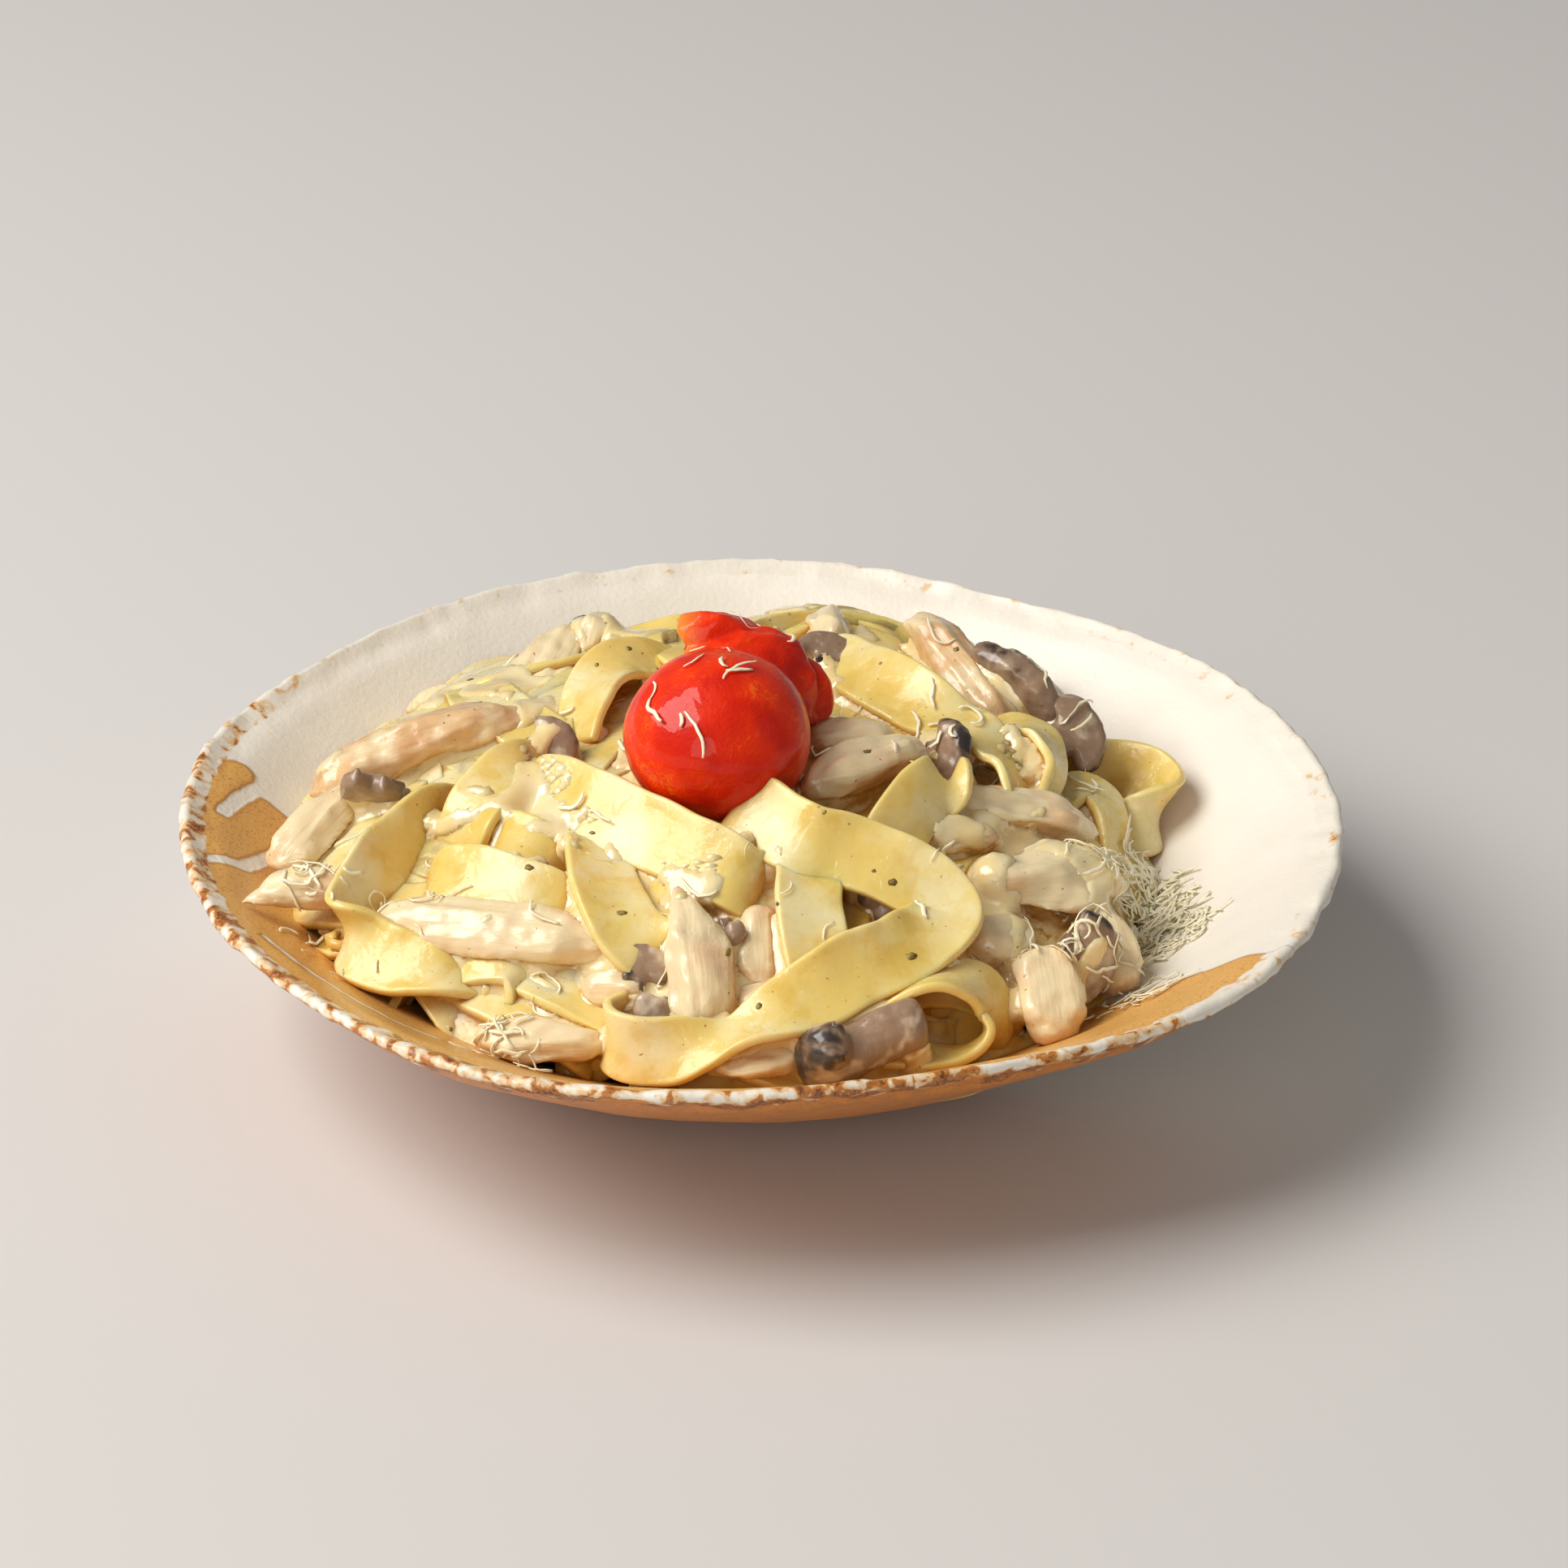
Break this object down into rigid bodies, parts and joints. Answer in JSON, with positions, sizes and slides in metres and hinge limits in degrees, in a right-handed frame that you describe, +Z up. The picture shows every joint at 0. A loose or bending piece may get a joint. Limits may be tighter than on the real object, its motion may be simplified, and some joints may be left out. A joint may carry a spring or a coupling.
{
  "type": "bowl of fettuccine alfredo",
  "caption": "Shallow hand-cut stoneware bowl heaped with creamy fettuccine, strips of chicken, mushroom slices, grated cheese and cherry tomatoes.",
  "frame": {"origin": "on the table, under the middle of the bowl's foot ring", "axes": "+Z up out of the bowl; -Y towards the diner, the side where the glaze is brown; +X to the diner's right"},
  "size_m": [0.2127, 0.2113, 0.0746],
  "materials": {
    "bowl_glaze": "satin cream glaze, brown over the front, with a flecked white lip",
    "pasta": "soft cooked egg pasta, wet with cream sauce",
    "chicken": "cooked breast, fibrous, thinly coated in sauce",
    "mushroom": "cooked button mushroom, grey-brown with darker gills",
    "tomato": "roasted cherry tomato, glossy and slightly wrinkled",
    "sauce": "thick cream sauce",
    "cheese": "finely grated hard cheese",
    "herbs": "dried herb flecks"
  },
  "bodies": {
    "root": {"bowl": "bowl_glaze", "fettuccine_heap": "pasta", "tomato_whole": "tomato", "tomato_burst": "tomato", "chicken_strip_01": "chicken", "chicken_strip_02": "chicken", "chicken_strip_03": "chicken", "chicken_strip_04": "chicken", "chicken_strip_05": "chicken", "chicken_strip_06": "chicken", "chicken_strip_07": "chicken", "chicken_strip_08": "chicken", "chicken_strip_09": "chicken", "chicken_strip_10": "chicken", "chicken_strip_11": "chicken", "chicken_strip_12": "chicken", "chicken_strip_13": "chicken", "chicken_strip_14": "chicken", "chicken_strip_15": "chicken", "chicken_strip_16": "chicken", "chicken_strip_17": "chicken", "chicken_strip_18": "chicken", "chicken_strip_19": "chicken", "chicken_strip_20": "chicken", "chicken_strip_21": "chicken", "chicken_strip_22": "chicken", "chicken_strip_23": "chicken", "chicken_strip_24": "chicken", "chicken_strip_25": "chicken", "mushroom_slice_01": "mushroom", "mushroom_slice_02": "mushroom", "mushroom_slice_03": "mushroom", "mushroom_slice_04": "mushroom", "mushroom_slice_05": "mushroom", "mushroom_slice_06": "mushroom", "mushroom_slice_07": "mushroom", "mushroom_slice_08": "mushroom", "mushroom_slice_09": "mushroom", "mushroom_slice_10": "mushroom", "mushroom_slice_11": "mushroom", "mushroom_slice_12": "mushroom", "mushroom_slice_13": "mushroom", "mushroom_slice_14": "mushroom"}
  },
  "joints": []
}
